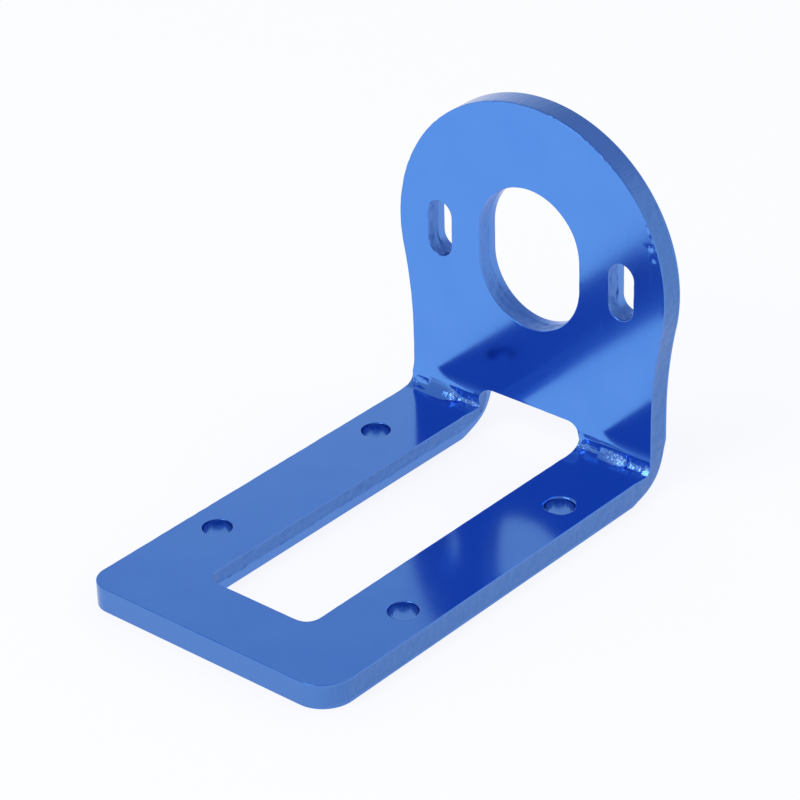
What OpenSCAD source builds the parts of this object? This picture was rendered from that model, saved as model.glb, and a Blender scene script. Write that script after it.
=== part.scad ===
// Motor mounting bracket: one punched sheet, folded once into an angle.
// The base lies flat on four screws and has a long window between two legs.
// The upright carries the motor by its front face: the motor's boss sits in the
// middle hole and two screws pass through the slots beside it, so the motor can be
// set up or down before it is tightened.
// X runs across the bracket, Y along the base towards the upright, Z upwards.
// The origin is under the middle of the base, on the surface that it stands on.

/* [Sheet and fold] */
// Thickness of the sheet
sheet_t = 2.85; // [2:0.05:3.5]
// Radius inside the fold
fold_inner_r = 1.8; // [0.6:0.1:2.5]
// Radius outside the fold, where the sheet is drawn thinner
fold_outer_r = 6.2; // [5:0.1:7]
// How far the fold's squeezed ends stand out of the sheet's edges
fold_bulge_h = 0.35; // [0.1:0.05:0.5]
// How far each squeezed end reaches from the fold's inside corner
fold_bulge_reach = 3; // [2:0.1:4]

/* [Base] */
// Width of the base, and of the upright above the fold
base_w = 33.5; // [30:0.1:40]
// Length of the base, from its free end to the upright's outer face
base_l = 56.2; // [50:0.1:70]
// Radius of the two corners at the free end
base_corner_r = 3.2; // [1:0.1:5]
// Diameter of the four base holes
base_hole_d = 3.4; // [2.4:0.1:4.5]
// Distance between base holes across the base
base_hole_dx = 26; // [24:0.1:27]
// Distance between base holes along the base
base_hole_dy = 26; // [20:0.1:34]
// Distance from the upright's outer face to the nearer pair of base holes
base_hole_set_back = 14.05; // [11:0.05:16]

/* [Window] */
// Width of the window between the legs
window_w = 14.4; // [10:0.1:17]
// Width of the strip left between the window and the free end
window_margin = 8.1; // [5:0.1:14]
// Radius of the window's corners at the free end
window_base_r = 1.75; // [0.5:0.05:4]
// Height of the window's upper end, above the fold
window_top_h = 5.5; // [4.5:0.1:8]
// Radius of the window's upper corners
window_top_r = 1.9; // [0.5:0.1:3]

/* [Upright] */
// Height of the motor's axis above the underside
axis_h = 23.75; // [22:0.05:32]
// How far the round head stands out past the straight edges on each side
head_flare = 1.5; // [0.3:0.1:3]
// Radius of the hollow fillets between the straight edges and the head
neck_r = 51.5; // [20:0.5:60]

/* [Motor seat] */
// Width of the middle hole, which takes the motor's boss
boss_hole_w = 13.8; // [10:0.1:16]
// How much higher than wide the middle hole is
boss_hole_stretch = 3.05; // [1:0.05:5]
// Distance between the two screw slots
slot_spacing = 25; // [23:0.1:28]
// Width of the screw slots
slot_w = 3.3; // [2.4:0.1:4]
// How far the screws, and so the motor, can be set up or down, from end to end
travel = 3.4; // [1:0.1:5]

/* [Hidden] */
$fn = 128;
sheet_blue = [0.30, 0.53, 0.89];
// Distance that each cutting shape runs past the face that it cuts
past = 1;
half_w = base_w / 2;
// Radius of the round head, about the motor's axis
head_r = half_w + head_flare;
free_y = -base_l / 2;
outer_y = base_l / 2;
inner_y = outer_y - sheet_t;
total_h = axis_h + head_r;
window_y = free_y + window_margin;
// Middle and tangent point of the hollow fillet on the right
neck_x = half_w + neck_r;
neck_h = axis_h - sqrt(pow(head_r + neck_r, 2) - pow(neck_x, 2));
tangent_x = head_r * neck_x / (head_r + neck_r);
tangent_h = axis_h - head_r * (axis_h - neck_h) / (head_r + neck_r);
// Radius of the ball whose cap is a squeezed end of the fold
bulge_r = (pow(fold_bulge_reach, 2) + pow(fold_bulge_h, 2)) / (2 * fold_bulge_h);

// Turns an outline drawn in Y and Z into a bar along X, of the width w
module bar_across(w) {
    translate([-w / 2, 0, 0]) rotate([90, 0, 90]) linear_extrude(w) children();
}

// Turns an outline drawn in X and Z into a bar along Y, past both ends of the bracket
module bar_along() {
    translate([0, outer_y + past, 0]) rotate([90, 0, 0]) linear_extrude(base_l + 2 * past) children();
}

// Cuts an outline drawn in X and Z through the upright alone
module cut_upright() {
    translate([0, outer_y + past, 0]) rotate([90, 0, 0]) linear_extrude(sheet_t + 2 * past) children();
}

// Everything behind a wall at y and above a floor at h, with a round corner between them
module corner_space(y, h, r) {
    translate([free_y - past, h + r]) square([y - free_y + past, total_h + past]);
    translate([free_y - past, h]) square([y - r - free_y + past, total_h + past]);
    translate([y - r, h + r]) circle(r);
}

// Section across the fold, in Y and Z: the base, the fold and the upright
module sheet_section() {
    difference() {
        intersection() {
            corner_space(outer_y, 0, fold_outer_r);
            translate([free_y, 0]) square([base_l, total_h]);
        }
        corner_space(inner_y, sheet_t, fold_inner_r);
    }
}

// Outline of the upright in X and Z, down to the underside
module upright_outline() {
    translate([-half_w, 0]) square([base_w, neck_h]);
    difference() {
        translate([-tangent_x, neck_h]) square([2 * tangent_x, tangent_h - neck_h]);
        for (side = [-1, 1]) translate([side * neck_x, neck_h]) circle(neck_r);
    }
    translate([0, axis_h]) circle(head_r);
}

// What the punch takes off one corner at the free end, in X and Y
module corner_waste() {
    difference() {
        translate([half_w - base_corner_r, free_y - past]) square([base_corner_r + past, base_corner_r + past]);
        translate([half_w - base_corner_r, free_y + base_corner_r]) circle(base_corner_r);
    }
}

// Window in X and Y: round corners at the free end, open towards the upright
module window_plan() {
    straight_y = window_y + window_base_r;
    inner_w = window_w - 2 * window_base_r;
    translate([-window_w / 2, straight_y]) square([window_w, outer_y - straight_y + past]);
    translate([-inner_w / 2, window_y]) square([inner_w, 2 * window_base_r]);
    for (side = [-1, 1]) translate([side * inner_w / 2, straight_y]) circle(window_base_r);
}

// Window in X and Z: round corners at its upper end, open downwards
module window_front() {
    straight_h = window_top_h - window_top_r;
    inner_w = window_w - 2 * window_top_r;
    translate([-window_w / 2, -past]) square([window_w, straight_h + past]);
    translate([-inner_w / 2, straight_h - window_top_r]) square([inner_w, 2 * window_top_r]);
    for (side = [-1, 1]) translate([side * inner_w / 2, straight_h]) circle(window_top_r);
}

module window() {
    intersection() {
        translate([0, 0, -past]) linear_extrude(window_top_h + 2 * past) window_plan();
        bar_along() window_front();
    }
}

// A hole of width w drawn out upwards and downwards by a stretch in all, in X and Z
module long_hole(w, stretch) {
    translate([-w / 2, -stretch / 2]) square([w, stretch]);
    for (end = [-1, 1]) translate([0, end * stretch / 2]) circle(w / 2);
}

module motor_seat() {
    translate([0, axis_h]) long_hole(boss_hole_w, boss_hole_stretch);
    for (side = [-1, 1]) translate([side * slot_spacing / 2, axis_h]) long_hole(slot_w, travel);
}

module base_holes() {
    for (side = [-1, 1], row = [0, 1])
        translate([side * base_hole_dx / 2, outer_y - base_hole_set_back - row * base_hole_dy, -past])
            cylinder(d = base_hole_d, h = sheet_t + 2 * past);
}

// Metal squeezed out of one edge at the inside of the fold.
// The edge is at edge_x and faces the side out, 1 to the right or -1 to the left.
module squeezed_end(edge_x, out) {
    intersection() {
        translate([edge_x + out * (fold_bulge_h - bulge_r), inner_y, sheet_t]) sphere(bulge_r);
        translate([edge_x, outer_y - fold_outer_r, fold_outer_r])
            cube([2 * fold_bulge_h, 4 * fold_outer_r, 4 * fold_outer_r], center = true);
        bar_across(2 * base_w) sheet_section();
    }
}

// The bracket: the folded bar cut to its outlines, with its window, holes and slots
module bracket() {
    color(sheet_blue) {
        difference() {
            intersection() {
                bar_across(2 * head_r + 2 * past) sheet_section();
                bar_along() upright_outline();
            }
            for (side = [0, 1]) mirror([side, 0, 0])
                translate([0, 0, -past]) linear_extrude(sheet_t + 2 * past) corner_waste();
            window();
            base_holes();
            cut_upright() motor_seat();
        }
        for (side = [-1, 1]) {
            squeezed_end(side * half_w, side);
            squeezed_end(side * window_w / 2, -side);
        }
    }
}

bracket();
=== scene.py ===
# Motor mounting bracket: one punched sheet of aluminium, folded once into an angle
# and dyed a glossy blue. It lies on a pale table in a plain studio.
# All the sizes of the bracket are in millimetres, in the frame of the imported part:
# X across it, Y along its base towards the upright, Z up from the surface it lies on.
import math

import bpy
import numpy as np
from mathutils import Matrix, Vector, geometry, noise


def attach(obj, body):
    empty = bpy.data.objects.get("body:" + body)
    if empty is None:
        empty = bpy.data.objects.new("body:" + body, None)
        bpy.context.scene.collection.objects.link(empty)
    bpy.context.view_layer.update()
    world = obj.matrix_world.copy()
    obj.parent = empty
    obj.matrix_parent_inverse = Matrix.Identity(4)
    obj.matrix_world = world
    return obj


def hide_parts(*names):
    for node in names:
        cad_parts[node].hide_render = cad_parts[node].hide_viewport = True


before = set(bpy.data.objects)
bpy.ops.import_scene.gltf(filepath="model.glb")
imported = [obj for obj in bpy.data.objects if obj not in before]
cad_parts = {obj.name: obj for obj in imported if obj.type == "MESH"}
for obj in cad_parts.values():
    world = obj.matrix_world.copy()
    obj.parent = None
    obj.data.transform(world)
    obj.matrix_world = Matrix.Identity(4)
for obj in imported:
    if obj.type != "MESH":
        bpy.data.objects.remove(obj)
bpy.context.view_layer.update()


# Camera
# It stands to the right of the bracket's free end and above it, as the photograph
# was taken: a long lens from about 375 mm away, with the picture turned a little.
MM = 0.001
scene = bpy.context.scene
scene.view_settings.view_transform = "Standard"
view_azimuth = math.radians(41.03)
view_elevation = math.radians(29.75)
view_roll = math.radians(-1.607)
view_distance = 375.15
# What lies in the middle of the picture, at the view distance
view_aim = Vector((-13.79, 19.21, 4.11))
view_lens = 149.78

back = Vector((
    math.sin(view_azimuth) * math.cos(view_elevation),
    -math.cos(view_azimuth) * math.cos(view_elevation),
    math.sin(view_elevation),
))
level = Vector((math.cos(view_azimuth), math.sin(view_azimuth), 0))
right = Matrix.Rotation(view_roll, 3, back) @ level
up = back.cross(right)

camera = bpy.data.objects.new("camera", bpy.data.cameras.new("camera"))
camera.data.lens = view_lens
camera.data.sensor_width = 36
camera.data.clip_start = 0.01
camera.matrix_world = Matrix.Translation((view_aim + view_distance * back) * MM) @ (
    Matrix((right, up, back)).transposed().to_4x4()
)
scene.collection.objects.link(camera)
scene.camera = camera


# Studio
# A white table that glows a little, as a lit table does, so that shadows stay faint, with
# painted shade in the four base holes. The room is white near the table's level and grey
# above, and one soft lamp hangs in front.
table_radius = 4.0
table_sides = 96
# How far the table lies under the bracket, so that the two never share a plane
table_drop = 0.02 * MM
table_glow = 0.83
table_white = 0.25
key_direction = Vector((-0.15, -0.61, 0.78))
key_distance = 0.60
key_size = 0.28
key_power = 0.60
# The room's colours by the height of the place looked at, from level to overhead: in
# front of the bracket and behind it
room_heights = (0.0, 0.12, 0.30, 0.52, 0.57, 0.85)
room_front = (
    (1.0, 1.0, 1.0), (0.8, 0.8, 0.84), (0.47, 0.46, 0.57),
    (0.44, 0.45, 0.58), (0.43, 0.45, 0.58), (0.38, 0.42, 0.58),
)
room_back = (
    (1.0, 1.0, 1.0), (0.95, 0.95, 0.97), (0.86, 0.84, 0.87),
    (0.69, 0.67, 0.72), (0.525, 0.545, 0.645), (0.38, 0.42, 0.58),
)
# How far to either side of the middle the colours in front pass into those behind
room_blend = 0.6


def new_material(name):
    """A material with its node tree and its Principled shader."""
    material = bpy.data.materials.new(name)
    material.use_nodes = True
    return material, material.node_tree, material.node_tree.nodes["Principled BSDF"]


def add_node(tree, kind, inputs=None, **settings):
    """A node with its settings. An input is given as a value or as another node's output."""
    node = tree.nodes.new("ShaderNode" + kind)
    for name, value in settings.items():
        setattr(node, name, value)
    for name, value in (inputs or {}).items():
        if isinstance(value, bpy.types.NodeSocket):
            tree.links.new(value, node.inputs[name])
        else:
            node.inputs[name].default_value = value
    return node


def mix_colours(tree, share, first, second):
    """The output of a node that mixes two colours, with a share of the second."""
    mix = add_node(tree, "Mix", {0: share, 6: first, 7: second}, data_type="RGBA")
    return mix.outputs[2]


turns = [2 * math.pi * i / table_sides for i in range(table_sides)]
table_mesh = bpy.data.meshes.new("table")
table_mesh.from_pydata(
    [(table_radius * math.cos(a), table_radius * math.sin(a), -table_drop) for a in turns],
    [],
    [list(range(table_sides))],
)
table = bpy.data.objects.new("table", table_mesh)
scene.collection.objects.link(table)
table_material, _, table_shader = new_material("white_table")
table_shader.inputs["Base Color"].default_value = (table_white, table_white, table_white, 1)
table_shader.inputs["Roughness"].default_value = 0.9
table_shader.inputs["Specular IOR Level"].default_value = 0.0
table_shader.inputs["Emission Color"].default_value = (1, 1, 1, 1)
table_shader.inputs["Emission Strength"].default_value = table_glow
table_mesh.materials.append(table_material)

# Where the base holes are, as in the part's source
base_l = 56.2
base_hole_x = 13.0
base_hole_set_back = 14.05
base_hole_dy = 26.0
near_hole_y = base_l / 2 - base_hole_set_back
far_hole_y = near_hole_y - base_hole_dy

# Little light gets through the base holes, most of it off their blue walls: a patch of
# painted shade lies on the table at one side of each hole, with a faint blue glow that is
# painted light off those walls. Part of a circle about the hole's middle bounds it, up to
# shade_half degrees to either side of shade_middle.
shade_r = 2.0
shade_middle = -49
shade_half = 72
shade_steps = 12
shade_turns = [
    math.radians(shade_middle + shade_half * i / shade_steps)
    for i in range(-shade_steps, shade_steps + 1)
]
shade_count = len(shade_turns)
shade_mesh = bpy.data.meshes.new("hole_shade")
shade_mesh.from_pydata(
    [
        ((x + shade_r * math.cos(a)) * MM, (y + shade_r * math.sin(a)) * MM, -table_drop / 2)
        for x in (-base_hole_x, base_hole_x)
        for y in (far_hole_y, near_hole_y)
        for a in shade_turns
    ],
    [],
    [list(range(shade_count * i, shade_count * (i + 1))) for i in range(4)],
)
hole_shade = bpy.data.objects.new("hole_shade", shade_mesh)
scene.collection.objects.link(hole_shade)
shade_material, _, shade_shader = new_material("shaded_table")
shade_shader.inputs["Base Color"].default_value = (0.6, 0.6, 0.6, 1)
shade_shader.inputs["Roughness"].default_value = 0.9
# Painted light: the patch glows faintly blue, standing in for light off the holes' blue walls
shade_shader.inputs["Emission Color"].default_value = (0.20, 0.50, 1, 1)
shade_shader.inputs["Emission Strength"].default_value = 0.45
shade_mesh.materials.append(shade_material)

lamp = bpy.data.objects.new("key_lamp", bpy.data.lights.new("key_lamp", "AREA"))
lamp.data.size = key_size
lamp.data.energy = key_power
lamp.location = key_direction.normalized() * key_distance
lamp.rotation_euler = key_direction.to_track_quat("Z", "Y").to_euler()
scene.collection.objects.link(lamp)

world = bpy.data.worlds.new("room")
world.use_nodes = True
tree = world.node_tree
looking = add_node(tree, "TexCoord").outputs["Generated"]
height = add_node(tree, "SeparateXYZ", {0: looking})
ramps = []
for colours in (room_front, room_back):
    ramp = add_node(tree, "ValToRGB", {0: height.outputs["Z"]})
    for _ in range(len(room_heights) - 2):
        ramp.color_ramp.elements.new(0.5)
    for element, position, colour in zip(ramp.color_ramp.elements, room_heights, colours):
        element.position = position
        element.color = (*colour, 1)
    ramps.append(ramp.outputs["Color"])
behind = add_node(
    tree,
    "MapRange",
    {"Value": height.outputs["Y"], "From Min": -room_blend, "From Max": room_blend},
)
room = mix_colours(tree, behind.outputs[0], ramps[0], ramps[1])
tree.links.new(room, tree.nodes["Background"].inputs["Color"])
scene.world = world


# Folded sheet
# The whole bracket: aluminium sheet, punched from its outer side, folded inwards in a press
# and dyed blue. The punch smooths the outer half of every cut wall and tears the inner
# half. The press tool marks the fold's inside and squeezes its ends out sideways.

# Sizes as in the part's source, but for the corners at the free end, which have one
# radius there, and the base holes, which are wider there by 0.08
sheet_t = 2.85
fold_outer_r = 6.2
base_w = 33.5
left_corner_r = 2.7
right_corner_r = 3.7
base_hole_r = 1.66
window_w = 14.4
window_margin = 8.1
window_base_r = 1.75
window_top_h = 5.5
window_top_r = 1.9
axis_h = 23.75
head_flare = 1.5
neck_r = 51.5
boss_r = 6.9
boss_travel = 3.05
slot_x = 12.5
slot_r = 1.65
slot_travel = 3.4

half_w = base_w / 2
head_r = half_w + head_flare
half_window = window_w / 2
leg_w = half_w - half_window
outer_y = base_l / 2
inner_y = outer_y - sheet_t

# Places in the sheet are (x, s). s runs along its inner side: it is 0 at the inside
# corner of the fold, negative along the base and positive up the upright.
free_s = -base_l / 2 - inner_y
axis_s = axis_h - sheet_t
window_end_s = free_s + window_margin
window_top_s = window_top_h - sheet_t
neck_x = half_w + neck_r
neck_s = axis_s - math.sqrt((head_r + neck_r) ** 2 - neck_x**2)
neck_turn = math.degrees(math.atan2(axis_s - neck_s, neck_x))
near_hole_s = near_hole_y - inner_y
far_hole_s = near_hole_s - base_hole_dy

# Distance between points along an outline, coarse and fine, how far to either side of the
# fold's corner it is fine, and the fewest steps in an arc
coarse_step = 0.25
fine_step = 0.12
fold_zone = 3.3
fewest_steps = 4


def arc(x, s, r, start, end):
    """Points along an arc of the sheet, from one angle to another, without the last."""
    count = max(fewest_steps, math.ceil(math.radians(abs(end - start)) * r / coarse_step))
    angles = [math.radians(start + (end - start) * i / count) for i in range(count)]
    return [(x + r * math.cos(a), s + r * math.sin(a)) for a in angles]


def straight(x0, s0, x1, s1):
    """Points along a straight edge, closer together in the fold, without the last."""
    marks = [0.0, 1.0]
    if s0 != s1:
        marks += [(side * fold_zone - s0) / (s1 - s0) for side in (-1, 1)]
    marks = sorted(m for m in marks if 0 <= m <= 1)
    length = math.hypot(x1 - x0, s1 - s0)
    points = []
    for m0, m1 in zip(marks, marks[1:]):
        middle = s0 + (s1 - s0) * (m0 + m1) / 2
        step = fine_step if abs(middle) < fold_zone else coarse_step
        count = max(1, math.ceil((m1 - m0) * length / step))
        spots = [m0 + (m1 - m0) * i / count for i in range(count)]
        points += [(x0 + (x1 - x0) * t, s0 + (s1 - s0) * t) for t in spots]
    return points


def sheet_outline():
    """The sheet's outer edge, with the metal on its left."""
    left_x = left_corner_r - half_w
    left_s = free_s + left_corner_r
    right_x = half_w - right_corner_r
    right_s = free_s + right_corner_r
    return (
        straight(left_x, free_s, right_x, free_s)
        + arc(right_x, right_s, right_corner_r, -90, 0)
        + straight(half_w, right_s, half_w, neck_s)
        + arc(neck_x, neck_s, neck_r, 180, 180 - neck_turn)
        + arc(0, axis_s, head_r, -neck_turn, 180 + neck_turn)
        + arc(-neck_x, neck_s, neck_r, neck_turn, 0)
        + straight(-half_w, neck_s, -half_w, left_s)
        + arc(left_x, left_s, left_corner_r, 180, 270)
    )


def window_outline():
    """The window's edge, with the metal on its left."""
    base_x = half_window - window_base_r
    base_s = window_end_s + window_base_r
    top_x = half_window - window_top_r
    top_s = window_top_s - window_top_r
    return (
        straight(base_x, window_end_s, -base_x, window_end_s)
        + arc(-base_x, base_s, window_base_r, 270, 180)
        + straight(-half_window, base_s, -half_window, top_s)
        + arc(-top_x, top_s, window_top_r, 180, 90)
        + straight(-top_x, window_top_s, top_x, window_top_s)
        + arc(top_x, top_s, window_top_r, 90, 0)
        + straight(half_window, top_s, half_window, base_s)
        + arc(base_x, base_s, window_base_r, 0, -90)
    )


def slot_outline(x, s, r, reach):
    """A hole drawn out up and down by half its reach, with the metal on its left."""
    points = arc(x, s - reach / 2, r, 0, -180)
    points += straight(x - r, s - reach / 2, x - r, s + reach / 2) if reach else []
    points += arc(x, s + reach / 2, r, 180, 0)
    points += straight(x + r, s + reach / 2, x + r, s - reach / 2) if reach else []
    return points


# Radius of the base holes' inner rims, and of the near right one's, which is rubbed
hole_rim_r = 0.11
rubbed_rim_r = 0.30

# Every outline with its wall's own ways: the radius of its inner rim, how deep the wall
# is torn, how much the parts that face left and right are torn (which on the outer wall
# also paints its right side darker, as painted shade), and how much lighter its colour is
# painted, as painted light and shade for how brightly the wall reflects
outlines = [
    # The outer wall: torn more where it faces right, which also paints that side darker as painted
    # shade, and painted dark all round
    (sheet_outline(), 0.09, 2.6, (0.0, 0.6), 0.1),
    (window_outline(), 0.05, 1.75, (1, 1), 0.5),
    (slot_outline(0, axis_s, boss_r, boss_travel), 0.07, 1.85, (1, 1), 1.0),
]
for side in (-1, 1):
    slot = slot_outline(side * slot_x, axis_s, slot_r, slot_travel)
    outlines.append((slot, 0.10, 1.72, (1, 1), 0.9))
    for hole_s in (near_hole_s, far_hole_s):
        hole = slot_outline(side * base_hole_x, hole_s, base_hole_r, 0)
        hole_rim = rubbed_rim_r if side > 0 and hole_s == near_hole_s else hole_rim_r
        outlines.append((hole, hole_rim, 1.35, (0, 0), 0.1))

# The foot of the upright's inner side stands in a little: it curves inwards from lean_reach
# down to lean_foot, by lean_turn radians in each millimetre, and from there runs straight
# back to the fold's corner
lean_reach = 3.0
lean_foot = 1.45
lean_turn = 0.19
# The tool has left a lens-shaped mark across the inside of each leg's fold, which
# stands a hair proud of the faces beside it and has a soft rim
lens_height = 0.005
lens_rim = 0.16
# The mark for each leg, by how far along the leg a place is (0 at the leg's left edge,
# 1 at its right): how far the mark reaches up the upright and along the base, how round
# the fold is there, how wide the flat is where the corner was pinched instead, and how
# rough the tool left the surface.
mark_columns = ("share", "up", "along", "roundness", "flat", "rough")
press_marks = {
    -1: (
        (0.00, 1.15, 1.70, 1.00, 0.90, 0.2),
        (0.05, 1.45, 1.60, 0.70, 1.30, 0.1),
        (0.31, 1.75, 1.55, 0.25, 1.50, 0.0),
        (0.50, 1.83, 1.42, 0.28, 1.46, 0.0),
        (0.575, 1.85, 1.25, 0.40, 1.41, 0.1),
        (0.592, 1.85, 1.20, 0.50, 1.10, 0.9),
        (0.63, 1.82, 1.10, 0.30, 0.92, 1.0),
        (0.672, 1.74, 1.25, 0.00, 0.66, 0.9),
        (0.686, 1.70, 1.29, 0.00, 0.54, 0.2),
        (0.700, 1.69, 1.29, 0.00, 0.60, 0.1),
        (0.730, 1.65, 1.29, 0.00, 0.42, 0.3),
        (0.86, 1.41, 1.30, 0.00, 0.36, 0.8),
        (0.90, 1.30, 1.30, 0.00, 0.42, 1.0),
        (1.00, 1.00, 1.30, 0.20, 0.22, 1.0),
    ),
    1: (
        (0.00, 1.15, 1.60, 1.00, 0.30, 0.2),
        (0.04, 1.45, 1.00, 0.90, 0.30, 0.6),
        (0.07, 1.65, 0.40, 0.25, 0.30, 0.6),
        (0.26, 1.65, 0.30, 0.20, 0.28, 0.1),
        (0.31, 1.80, 0.80, 0.40, 1.04, 0.0),
        (0.40, 1.82, 0.85, 0.40, 1.06, 0.4),
        (0.50, 1.80, 0.95, 0.40, 1.04, 1.1),
        (0.58, 1.70, 1.00, 0.20, 0.96, 1.2),
        (0.675, 1.35, 1.00, 0.00, 0.62, 1.0),
        (0.690, 1.30, 1.00, 0.00, 0.30, 0.2),
        (0.706, 1.25, 1.00, 0.00, 0.60, 0.3),
        (0.88, 1.10, 0.90, 0.00, 0.46, 0.8),
        (0.905, 1.10, 0.85, 0.00, 0.10, 0.4),
        (0.920, 1.10, 0.85, 0.00, 0.95, 0.5),
        (1.00, 1.00, 0.85, 0.00, 0.78, 0.5),
    ),
}
# A soft noise is given by its layer, which only tells it from the others, and the size of
# its spots. A rough one is coarse and fine soft noise, and the share of the fine.

# Grit on the mark's rough parts, and between which shares of the mark's reach it ends
grit_height = 0.05
grit_noise = ((3.0, 0.30), (9.0, 0.16), 0.7)
grit_end = (0.5, 0.8)
# A crack stands across the mark beside the round part: its place and width in shares of
# the leg, its depth, how much it bows to the right and from which s, its middle, and
# how far from there it ends
crack_share = 0.685
crack_width = 0.010
crack_depth = 0.16
crack_bow = 0.02
crack_bow_s = 0.3
crack_middle_s = 0.25
crack_end = (0.75, 1.25)
# Pockets that the tool's end pressed into the fold's left part: for each leg, where
# the pocket starts and ends along the leg and up the sheet, and how deep it is
pockets = {-1: (0.045, 0.265, -0.95, 1.15, 0.34), 1: (0.05, 0.28, 0.35, 1.25, 0.12)}
# How wide a pocket's walls are, what share of its depth it loses in each millimetre from
# the corner, and the dapple on its floor
pocket_wall = 0.22
pocket_slope = 0.75
dapple_height = 0.03
dapple_noise = (6.0, 0.6)
# Faint ripples run along the mark's upper rim at the leg's left end: how high they are
# and how far apart, between which shares of the leg they end, and the band of s that
# has them, with its soft edge
ripple_height = 0.004
ripple_step = 0.36
ripple_end = (0.18, 0.36)
ripple_band = (0.9, 2.6, 0.4)


def smooth(low, high, value):
    """0 below low, 1 above high, and a soft step between them."""
    t = np.clip((value - low) / (high - low), 0, 1)
    return t * t * (3 - 2 * t)


def leg_share(x):
    """How far along its leg a point is, from the leg's left edge to its right."""
    return np.where(x < 0, x + half_w, x - half_window) / leg_w


def pressed(x, column):
    """One column of the press marks at x, between its rows."""
    both = []
    for side in (-1, 1):
        rows = np.array(press_marks[side])
        values = rows[:, mark_columns.index(column)]
        both.append(np.interp(leg_share(x), rows[:, 0], values))
    return np.where(x < 0, both[0], both[1])


def soft_noise(x, s, layer, size):
    """Soft random values between -1 and 1, in spots of one size."""
    places = np.broadcast_arrays(x, s, layer)
    return np.array([noise.noise(Vector(p) / size) for p in zip(*places)])


def rough_noise(x, s, noises, down=0.0):
    """Coarse soft noise and a share of fine, each taken so far down from its own layer."""
    (layer, size), (fine_layer, fine_size), share = noises
    coarse = soft_noise(x, s, layer + down, size)
    return coarse + share * soft_noise(x, s, fine_layer + down, fine_size)


def hump(low, high, edge, value):
    """1 between low and high, 0 outside, with a soft edge on either side."""
    return smooth(low, low + edge, value) * (1 - smooth(high - edge, high, value))


def press_height(x, s):
    """How far the marks stand off the fold's inner side, or below it."""
    u = leg_share(x)
    reach = np.where(s > 0, pressed(x, "up"), pressed(x, "along"))
    off = np.abs(s)
    height = lens_height * (1 - smooth(reach - lens_rim / 2, reach + lens_rim / 2, off))
    rough = pressed(x, "rough") * (1 - smooth(grit_end[0] * reach, grit_end[1] * reach, off))
    height += grit_height * rough * rough_noise(x, s, grit_noise)
    for side, (start, end, low, high, deep) in pockets.items():
        along = hump(start, end, pocket_wall / leg_w, u) * (np.sign(x) == side)
        inside = along * hump(low, high, pocket_wall, s)
        dapple = dapple_height * soft_noise(x, s, *dapple_noise)
        height -= inside * (deep * (1 - pocket_slope * off) + dapple)
    bent = u - crack_share - crack_bow * (s - crack_bow_s) ** 2
    whole = 1 - smooth(*crack_end, np.abs(s - crack_middle_s))
    height -= crack_depth * (np.exp(-((bent / crack_width) ** 2)) * whole)
    beside = (1 - smooth(*ripple_end, u)) * hump(*ripple_band, s)
    height += ripple_height * beside * np.sin(2 * math.pi * (s - reach) / ripple_step)
    return height


def rounded_corner(s, up, along):
    """Place (y, z) of the inner side at a round corner that reaches up the upright and
    along the base, and how far the side has turned there."""
    reach = np.where(s > 0, up, along)
    turn = np.clip((s / reach + 1) * math.pi / 4, 0, math.pi / 2)
    inside = np.abs(s) < reach
    y = np.where(inside, inner_y - along + along * np.sin(turn), inner_y + np.minimum(s, 0))
    z = np.where(inside, sheet_t + up - up * np.cos(turn), sheet_t + np.maximum(s, 0))
    return y, z, np.arctan2(up * np.sin(turn), along * np.cos(turn))


def flat_corner(s, reach):
    """The same for a corner that a flat cuts off, from -reach to reach."""
    share = np.clip((s / reach + 1) / 2, 0, 1)
    y = inner_y + np.minimum(s, 0)
    z = sheet_t + np.maximum(s, 0)
    inside = np.abs(s) < reach
    y = np.where(inside, inner_y - reach * (1 - share), y)
    z = np.where(inside, sheet_t + reach * share, z)
    return y, z, share * math.pi / 2


# Metal squeezed out at the ends of the fold's inside, in a steeper hill at the window, and
# drawn in at its outside, about a place that is draw_off from both outer faces. Both
# fade out away from the leg's edge.
squeeze_h = 0.40
squeeze_reach = 3.4
squeeze_steepness = 1.5
window_steepness = 2.2
draw_in = 0.30
draw_reach = 4.5
draw_off = 1.8
edge_fade = 1.2
# Lines through the sheet fan out up to so far from the fold's corner, and are square to
# the sheet beyond
fan_reach = window_top_s - window_top_r
# The smallest length that anything is divided by
tiny = 1e-9


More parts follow.
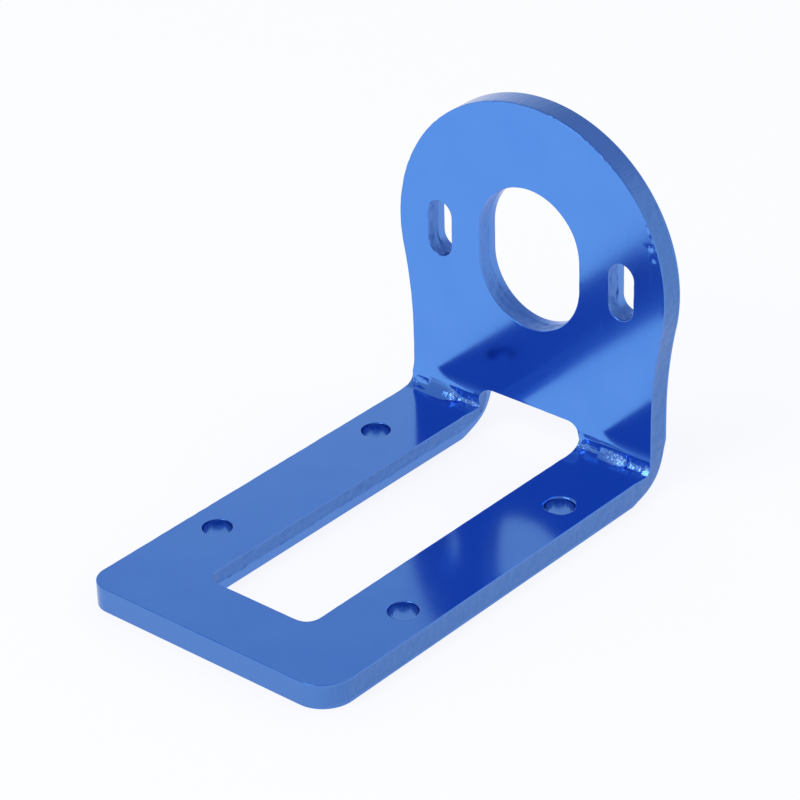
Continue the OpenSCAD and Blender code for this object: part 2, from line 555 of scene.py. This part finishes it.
def bend(x, s, depth, lift):
    """Folds the sheet: points (x, s) at a depth from 0, inner side, to 1, outer side,
    raised by lift off the inner side. Returns their places in space."""
    round_y, round_z, round_turn = rounded_corner(s, pressed(x, "up"), pressed(x, "along"))
    flat_y, flat_z, flat_turn = flat_corner(s, pressed(x, "flat"))
    roundness = pressed(x, "roundness")
    y_in = roundness * round_y + (1 - roundness) * flat_y
    z_in = roundness * round_z + (1 - roundness) * flat_z
    turn = roundness * round_turn + (1 - roundness) * flat_turn
    lean = lean_turn / 2 * np.clip(lean_reach - s, 0, lean_reach - lean_foot) ** 2
    y_in -= lean * np.clip(s / lean_foot, 0, 1)
    # From the sharp inside corner, straight through to the outer side
    y0 = inner_y + np.minimum(s, 0)
    z0 = sheet_t + np.maximum(s, 0)
    through_y = np.clip(fan_reach + s, 0, fan_reach)
    through_z = -np.clip(fan_reach - s, 0, fan_reach)
    length = np.hypot(through_y, through_z)
    through_y = through_y / length
    through_z = through_z / length
    centre_y = outer_y - fold_outer_r
    centre_z = fold_outer_r
    to_under = z0 / np.maximum(-through_z, tiny)
    to_back = (outer_y - y0) / np.maximum(through_y, tiny)
    along = (y0 - centre_y) * through_y + (z0 - centre_z) * through_z
    off = (y0 - centre_y) ** 2 + (z0 - centre_z) ** 2 - fold_outer_r**2
    to_round = -along + np.sqrt(np.maximum(along**2 - off, 0))
    round_hit = (y0 + to_round * through_y > centre_y) & (z0 + to_round * through_z < centre_z)
    far = np.where(round_hit, to_round, np.minimum(to_under, to_back))
    y = (1 - depth) * y_in + depth * (y0 + far * through_y) - lift * np.sin(turn)
    z = (1 - depth) * z_in + depth * (z0 + far * through_z) + lift * np.cos(turn)
    # The squeezed ends: every leg edge moves sideways near the fold
    off_inside = np.hypot(y - inner_y, z - sheet_t)
    off_outside = np.hypot(y - (outer_y - draw_off), z - draw_off)
    outwards = np.where(np.abs(x) > half_w - leg_w / 2, 1, -1)
    steepness = np.where(outwards > 0, squeeze_steepness, window_steepness)
    push = squeeze_h * np.clip(1 - (off_inside / squeeze_reach) ** 2, 0, 1) ** steepness
    push -= draw_in * np.clip(1 - (off_outside / draw_reach) ** 2, 0, 1)
    to_edge = np.where(outwards > 0, half_w - np.abs(x), np.abs(x) - half_window)
    fade = np.exp(-((to_edge / edge_fade) ** 2))
    x = x + np.sign(x) * outwards * push * fade
    return np.stack([x, y, z], 1)


# Rings of points round every outline, from one side of the sheet over its cut wall to
# the other: on the inner side by their share of the way from the rim to inner_inset, over
# the sharp inner rim, down the torn part of the wall, down its smooth part, and over the
# rolled outer rim. Both rims are quarter circles, given in degrees.
inner_inset = 0.70
inner_shares = (1.0, 0.65, 0.42, 0.21, 0.02)
rim_turns = (0, 22.5, 45, 67.5, 90)
torn_shares = (0.14, 0.28, 0.42, 0.56, 0.70, 0.83, 0.95)
land_shares = (0.05, 0.30, 0.62)
roll_r = 0.05
outer_inset = 0.85
# Room for rounding where places are compared
slack = 0.01
# How far the torn part's border wanders, how far the torn part stands back, and how rough
# it is, with its noise going down faster than the wall does
torn_wander = 0.16
wander_noise = ((4.0, 1.6), (2.0, 0.5), 0.6)
torn_back = 0.045
tear_height = 0.09
tear_noise = ((0.0, 0.75), (5.0, 0.32), 0.6)
tear_down = 1.3
# How unevenly the inner rim is rounded, how much sharper it is where the wall faces right,
# and the powers by which that and the tearing come in as a wall turns to the right
rim_wander = 0.7
rim_noise = (8.0, 1.2)
rim_sharper = 0.75
rim_power = 4
tearing_power = 3
# The burr on the inner rim, broken up by a noise and fading inwards: highest round the
# head, where the sheet's scrap was torn off
burr_low = 0.004
burr_high = 0.10
burr_noise = ((0.0, 0.9), (7.0, 0.35), 0.5)
burr_break = (0.0, 0.35)
burr_fade = (0.02, 0.30)
# The head's own edge comes in over these heights above the motor's axis, and over these
# distances in from the edge
head_rise = (4, 12)
head_edge = (1, 0.3)
# How much lighter the head's wall is painted on its right side, as a painted sheen, and how
# far a wall faces right there, with a soft edge
head_sheen = 0.9
sheen_facing = (0.2, 0.95, 0.25)
# Hollows in the upright's front face: place (x, z), radius and depth. The first two are
# wide and faint, from the press; the others are small dents near the right edge. Each
# pushes up a faint lip.
dents = (
    ((15.0, 30.5), 8.5, 0.05),
    ((8.0, 13.0), 5.0, 0.03),
    ((16.28, 30.2), 0.24, 0.07),
    ((15.95, 32.6), 0.16, 0.03),
    ((16.72, 28.9), 0.15, 0.05),
)
dent_lip = 0.45
# Points in and round a dent: in rings by shares of its radius, and round each ring
dent_shares = (0.4, 0.8, 1.2, 1.6)
dent_sides = 12


def on_head(x, s):
    """1 on the round head's own edge, 0 elsewhere."""
    high = smooth(axis_s + head_rise[0], axis_s + head_rise[1], s)
    from_axis = np.hypot(x, s - axis_s)
    return high * smooth(head_r - head_edge[0], head_r - head_edge[1], from_axis)


def burr_height(x, s):
    """How far the inner rim stands up at a place on an outline."""
    broken = smooth(*burr_break, rough_noise(x, s, burr_noise))
    return broken * (burr_low + (burr_high - burr_low) * on_head(x, s))


points_x = []
points_s = []
points_depth = []
points_lift = []
points_torn_and_shade = []
points_painted_light = []
faces = []
face_kinds = []
loops = []
for outline, rim_r, torn_depth, (torn_and_shaded_left, torn_and_shaded_right), painted_wall_light in outlines:
    edge = np.array(outline)
    ahead = np.roll(edge, -1, 0) - np.roll(edge, 1, 0)
    ahead /= np.hypot(ahead[:, 0], ahead[:, 1])[:, None]
    out = np.stack([ahead[:, 1], -ahead[:, 0]], 1)
    to_right = np.maximum(out[:, 0], 0)
    x, s = edge.T
    border = torn_depth + torn_wander * rough_noise(x, s, wander_noise)
    rim_r = rim_r * (1 + rim_wander * soft_noise(x, s, *rim_noise))
    rim_r *= 1 - rim_sharper * to_right**rim_power
    # Right-facing parts of the outer wall are torn more: real tearing, and painted shade, as the torn
    # colour is darker
    tearing_and_shade = torn_and_shaded_left + (torn_and_shaded_right - torn_and_shaded_left) * to_right**tearing_power
    burr = burr_height(x, s)
    # For each ring how far in it is, how deep, how torn, and 1 if it is on the cut wall; on the
    # outer wall's right side the torn share is partly painted shade
    rings = [(rim_r + share * (inner_inset - rim_r), 0.0, 0.0, 0) for share in inner_shares]
    for degrees in rim_turns:
        a = math.radians(degrees)
        rings.append((rim_r * (1 - math.sin(a)), rim_r * (1 - math.cos(a)), 0.0, 0))
    for share in torn_shares:
        rings.append((0.0, rim_r + share * (border - rim_r), tearing_and_shade, 1))
    for share in land_shares:
        rings.append((0.0, border + share * (sheet_t - roll_r - border), 0.0, 1))
    for degrees in rim_turns:
        a = math.radians(degrees)
        rings.append((roll_r * (1 - math.cos(a)), sheet_t - roll_r + roll_r * math.sin(a), 0.0, 0))
    rings.append((outer_inset, sheet_t, 0.0, 0))
    count = len(edge)
    start = len(points_x)
    for inset, depth, torn_and_shade, _ in rings:
        depth = np.broadcast_to(depth, x.shape)
        tear = rough_noise(x, s, tear_noise, tear_down * depth)
        inset = inset + torn_and_shade * np.maximum(torn_back + tear_height * tear, 0)
        points_x += list(x - inset * out[:, 0])
        points_s += list(s - inset * out[:, 1])
        points_depth += list(depth / sheet_t)
        points_lift += list(burr * (1 - smooth(*burr_fade, inset)) * (depth < rim_r + slack))
        points_torn_and_shade += list(np.broadcast_to(torn_and_shade, x.shape))
        # Painted light and shade: each wall's lighter or darker paint, and a painted sheen on the
        # head's right side
        points_painted_light += list(painted_wall_light + head_sheen * on_head(x, s) * hump(*sheen_facing, out[:, 0]))
    for j in range(len(rings) - 1):
        for i in range(count):
            a = start + j * count + i
            b = start + j * count + (i + 1) % count
            faces.append((a, a + count, b + count, b))
            face_kinds.append(max(rings[j][3], rings[j + 1][3]))
    loops.append((start, start + (len(rings) - 1) * count, count))


def inside_metal(x, s, margin):
    """Whether a place lies in the sheet, at least a margin away from its edges."""
    if s < neck_s:
        if abs(x) > half_w - margin or s < free_s + margin:
            return False
    elif s < axis_s - head_r * math.sin(math.radians(neck_turn)):
        beside = neck_x - math.sqrt(neck_r**2 - (s - neck_s) ** 2)
        if abs(x) > beside - margin:
            return False
    elif math.hypot(x, s - axis_s) > head_r - margin:
        return False
    corner_r = left_corner_r if x < 0 else right_corner_r
    corner = Vector((abs(x) - half_w + corner_r, free_s + corner_r - s))
    if min(corner) > 0 and corner.length > corner_r - margin:
        return False
    if abs(x) < half_window + margin and window_end_s - margin < s < window_top_s + margin:
        return False
    for hole_x, hole_s, r, reach in (
        (0, axis_s, boss_r, boss_travel),
        (slot_x, axis_s, slot_r, slot_travel),
        (base_hole_x, near_hole_s, base_hole_r, 0),
        (base_hole_x, far_hole_s, base_hole_r, 0),
    ):
        beyond = max(abs(s - hole_s) - reach / 2, 0)
        if math.hypot(abs(x) - hole_x, beyond) < r + margin:
            return False
    return True


# Grids of points inside the sheet: a fine one over the fold, between two values of s and
# closer on the inner side, and a wide one below and above it, which begins first_row
# from the free end and has so many columns to either side of the middle
inner_grid = 0.085
outer_grid = 0.25
fine_low_s = -2.4
fine_high_s = 3.6
wide_grid = 2.0
wide_low_s = -2.6
wide_columns = 9
first_row = 1
# How far the grids and the dents' points stay off the outlines' last rings
inner_gap = 0.05
outer_gap = 0.1
dent_gap = 0.04


def side_spots(fine, margin):
    """Places inside the sheet: a fine grid over the fold and the wide one elsewhere."""
    spots = []
    for side in (-1, 1):
        for s in np.arange(fine_low_s, fine_high_s, fine):
            spots += [(side * x, s) for x in np.arange(half_window, half_w, fine)]
    across = [column * wide_grid for column in range(-wide_columns, wide_columns + 1)]
    for s in np.arange(free_s + first_row, axis_s + head_r, wide_grid):
        if s < wide_low_s - wide_grid / 3 or s > fine_high_s + wide_grid / 3:
            spots += [(x, s) for x in across]
    return [(x, s) for x, s in spots if inside_metal(x, s, margin)]


def dent_spots():
    """Places in and round every dent, so that it gets its shape."""
    spots = []
    for (x, z), r, _ in dents:
        spots.append((x, z - sheet_t))
        for share in dent_shares:
            for i in range(dent_sides):
                a = 2 * math.pi * (i + share) / dent_sides
                spots.append((x + share * r * math.cos(a), z - sheet_t + share * r * math.sin(a)))
    return [(x, s) for x, s in spots if inside_metal(x, s, inner_inset + dent_gap)]


# Points of a side that are nearer together than this are taken as one
same_within = 1e-6


def fill_side(ring_starts, spots, depth, flipped):
    """Fills one side of the sheet between the outlines' last rings with triangles."""
    flat = []
    names = []
    edges = []
    where = {}
    for loop, (first, count) in enumerate(ring_starts):
        for i in range(count):
            edges.append((len(flat), len(flat) - i + (i + 1) % count))
            where[len(names)] = (loop, i, count)
            names.append(first + i)
            flat.append(Vector((points_x[first + i], points_s[first + i])))
    for x, s in spots:
        names.append(len(points_x))
        flat.append(Vector((x, s)))
        points_x.append(x)
        points_s.append(s)
        points_depth.append(depth)
        points_lift.append(0.0)
        points_torn_and_shade.append(0.0)
        points_painted_light.append(0.0)
    # Triangles up to the convex hull of all the points; those off the metal are left out
    _, _, triangles, origins, _, _ = geometry.delaunay_2d_cdt(flat, edges, [], 0, same_within)
    for triangle in triangles:
        corners = [origins[v][0] for v in triangle]
        homes = [where.get(c) for c in corners]
        if all(homes) and len({h[0] for h in homes}) == 1:
            # All on one outline: kept if they run round it in its own direction
            count = homes[0][2]
            if (homes[1][1] - homes[0][1]) % count > (homes[2][1] - homes[0][1]) % count:
                continue
        named = [names[c] for c in corners]
        faces.append(named[::-1] if flipped else named)
        face_kinds.append(0)


inner_spots = side_spots(inner_grid, inner_inset + inner_gap) + dent_spots()
outer_spots = side_spots(outer_grid, outer_inset + outer_gap)
fill_side([(first, count) for first, _, count in loops], inner_spots, 0.0, False)
fill_side([(last, count) for _, last, count in loops], outer_spots, 1.0, True)

# The tool's marks and the dents are only in what is less deep than inside_depth, and the
# marks begin at marks_low_s. The tool has rubbed the sheet up to scuff_reach from the
# fold's corner.
inside_depth = 0.2
marks_low_s = -2.7
scuff_reach = 1.2
# Faces that meet at more than this have a sharp edge between them
sharp_angle = math.radians(55)

sheet_x = np.array(points_x)
sheet_s = np.array(points_s)
sheet_depth = np.array(points_depth)
lift = np.array(points_lift)
on_inside = sheet_depth < inside_depth / sheet_t
on_legs = np.abs(sheet_x) > half_window - slack
in_fold = on_inside & on_legs & (sheet_s > marks_low_s) & (sheet_s < fold_zone)
lift[in_fold] += press_height(sheet_x[in_fold], sheet_s[in_fold])
for (x, z), r, deep in dents:
    away = np.hypot(sheet_x - x, sheet_s + sheet_t - z) / r
    lift -= on_inside * deep * (1 - dent_lip * away**2) * np.exp(-(away**2))
rubbed_part = np.abs(sheet_s) < scuff_reach
scuff = np.where(in_fold, pressed(sheet_x, "rough") * rubbed_part, 0)
places = bend(sheet_x, sheet_s, sheet_depth, lift)

sheet_mesh = bpy.data.meshes.new("folded_sheet")
sheet_mesh.from_pydata((places * MM).tolist(), [], faces)
sheet_mesh.polygons.foreach_set("material_index", face_kinds)
sheet_mesh.polygons.foreach_set("use_smooth", [True] * len(faces))
place_data = sheet_mesh.attributes.new("sheet_place", "FLOAT_VECTOR", "POINT")
sheet_places = np.stack([sheet_x, sheet_s, sheet_depth * sheet_t], 1)
place_data.data.foreach_set("vector", sheet_places.astype(np.float32).ravel())
marks_and_painted_light = {"torn_and_shade": np.array(points_torn_and_shade), "painted_wall_light": np.array(points_painted_light), "scuff": scuff}
for name, values in marks_and_painted_light.items():
    data = sheet_mesh.attributes.new(name, "FLOAT", "POINT")
    data.data.foreach_set("value", values.astype(np.float32))
sheet_mesh.validate()
sheet_mesh.update()
sheet_mesh.set_sharp_from_angle(angle=sharp_angle)
folded_sheet = bpy.data.objects.new("folded_sheet", sheet_mesh)
scene.collection.objects.link(folded_sheet)

# Finishes: both are the dyed metal itself, mirror-like on the rolled faces and duller
# where the punch cut or tore it. A cut wall has its smooth land and its torn part, and
# each has a shaded and a lit colour, mixed by the painted light and shade of its outline
# and by the painted sheen on the head's right side.
dye_deep = (0.090, 0.267, 0.765, 1)
dye_pale = (0.112, 0.308, 0.81, 1)
land_shaded = (0.092, 0.225, 0.585, 1)
land_lit = (0.107, 0.252, 0.66, 1)
torn_shaded = (0.052, 0.134, 0.365, 1)
torn_lit = (0.101, 0.248, 0.66, 1)
# Where the press tool has rubbed the dye thin
rubbed_thin = (0.26, 0.45, 0.82, 1)
# How much rougher scuffs and marks of handling make the metal
scuff_haze = 0.14
handling_haze = 0.08
# Height of the slow waves in the rolled faces, and of the grain in the cut walls
wave_height = 0.012 * MM
grain_height = 0.035 * MM
# Marks of handling run along the sheet and streaks in a cut wall run down it: how close
# they are by x, s and depth
handling_run = (1.9, 0.14, 0.5)
streak_run = (1.0, 1.0, 0.12)


def new_group(name, inputs, outputs):
    """An empty node group with vector inputs and float outputs, and its two end nodes."""
    group = bpy.data.node_groups.new(name, "ShaderNodeTree")
    for label in inputs:
        group.interface.new_socket(label, in_out="INPUT", socket_type="NodeSocketVector")
    for label in outputs:
        group.interface.new_socket(label, in_out="OUTPUT", socket_type="NodeSocketFloat")
    return group, group.nodes.new("NodeGroupInput"), group.nodes.new("NodeGroupOutput")


# Shared by both finishes: slow changes of the dye, and fine marks of handling
dye_group, dye_in, dye_out = new_group("dye", ["Place"], ["Cloud", "Marks"])
place = dye_in.outputs["Place"]
cloud = add_node(dye_group, "TexNoise", {"Vector": place, "Scale": 0.16, "Detail": 3.0})
long_way = add_node(dye_group, "VectorMath", {0: place, 1: handling_run}, operation="MULTIPLY")
marks = add_node(dye_group, "TexNoise", {"Vector": long_way.outputs[0], "Scale": 1.6, "Detail": 4.0})
marks_mask = add_node(
    dye_group,
    "MapRange",
    {"Value": marks.outputs[0], "From Min": 0.60, "From Max": 0.72},
    interpolation_type="SMOOTHSTEP",
)
dye_group.links.new(cloud.outputs[0], dye_out.inputs["Cloud"])
dye_group.links.new(marks_mask.outputs[0], dye_out.inputs["Marks"])


def dyed_metal(name):
    """A material with the sheet's places and the shared dye group ready in its tree."""
    material, tree, shader = new_material(name)
    shader.inputs["Metallic"].default_value = 1.0
    place = add_node(tree, "Attribute", attribute_name="sheet_place").outputs["Vector"]
    dye = add_node(tree, "Group", node_tree=dye_group)
    tree.links.new(place, dye.inputs["Place"])
    return material, tree, shader, place, dye


gloss_material, tree, shader, place, dye = dyed_metal("glossy_blue")
shade = mix_colours(tree, dye.outputs["Cloud"], dye_deep, dye_pale)
scuffs = add_node(tree, "Attribute", attribute_name="scuff")
grain = add_node(tree, "TexNoise", {"Vector": place, "Scale": 3.4, "Detail": 2.0})
rubbed = add_node(
    tree, "MapRange", {"Value": grain.outputs[0], "From Min": 0.42, "From Max": 0.58, "To Max": 0.8}
)
worn = add_node(
    tree, "Math", {0: rubbed.outputs[0], 1: scuffs.outputs["Fac"]}, operation="MULTIPLY", use_clamp=True
)
shade = mix_colours(tree, worn.outputs[0], shade, rubbed_thin)
tree.links.new(shade, shader.inputs["Base Color"])
haze = add_node(tree, "MapRange", {"Value": dye.outputs["Marks"], "To Min": 0.125, "To Max": 0.17})
dulled = add_node(
    tree,
    "Math",
    {0: scuffs.outputs["Fac"], 1: scuff_haze, 2: haze.outputs["Result"]},
    operation="MULTIPLY_ADD",
)
tree.links.new(dulled.outputs[0], shader.inputs["Roughness"])
waves = add_node(tree, "TexNoise", {"Vector": place, "Scale": 0.14, "Detail": 1.0})
rolled = add_node(
    tree, "Bump", {"Height": waves.outputs[0], "Strength": 1.0, "Distance": wave_height}
)
tree.links.new(rolled.outputs[0], shader.inputs["Normal"])

cut_material, tree, shader, place, dye = dyed_metal("punched_blue")
torn_and_shade = add_node(tree, "Attribute", attribute_name="torn_and_shade").outputs["Fac"]
grain = add_node(tree, "TexNoise", {"Vector": place, "Scale": 3.2, "Detail": 5.0, "Roughness": 0.6})
drawn = add_node(tree, "VectorMath", {0: place, 1: streak_run}, operation="MULTIPLY")
streaks = add_node(tree, "TexNoise", {"Vector": drawn.outputs[0], "Scale": 4.0, "Detail": 3.0})
painted_wall_light = add_node(tree, "Attribute", attribute_name="painted_wall_light").outputs["Fac"]
mottle = add_node(
    tree,
    "MapRange",
    {"Value": grain.outputs[0], "From Min": 0.35, "From Max": 0.65, "To Min": 0.45},
)
# On the outer wall's right side this darkening by the torn share is painted shade
torn_and_shade_mottle = add_node(tree, "Math", {0: torn_and_shade, 1: mottle.outputs[0]}, operation="MULTIPLY")
# Lit and shaded copies of the land's and the torn part's colours, mixed by the painted light
land = mix_colours(tree, painted_wall_light, land_shaded, land_lit)
ragged = mix_colours(tree, painted_wall_light, torn_shaded, torn_lit)
shade = mix_colours(tree, torn_and_shade_mottle.outputs[0], land, ragged)
tree.links.new(shade, shader.inputs["Base Color"])
haze = add_node(tree, "MapRange", {"Value": torn_and_shade, "To Min": 0.17, "To Max": 0.42})
dulled = add_node(
    tree,
    "Math",
    {0: dye.outputs["Marks"], 1: handling_haze, 2: haze.outputs["Result"]},
    operation="MULTIPLY_ADD",
)
tree.links.new(dulled.outputs[0], shader.inputs["Roughness"])
relief = add_node(
    tree, "Mix", {0: torn_and_shade, 2: streaks.outputs[0], 3: grain.outputs[0]}, data_type="FLOAT"
)
rough_wall = add_node(
    tree, "Bump", {"Height": relief.outputs[0], "Strength": 1.0, "Distance": grain_height}
)
tree.links.new(rough_wall.outputs[0], shader.inputs["Normal"])
sheet_mesh.materials.append(gloss_material)
sheet_mesh.materials.append(cut_material)

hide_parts("bracket")
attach(folded_sheet, "root")
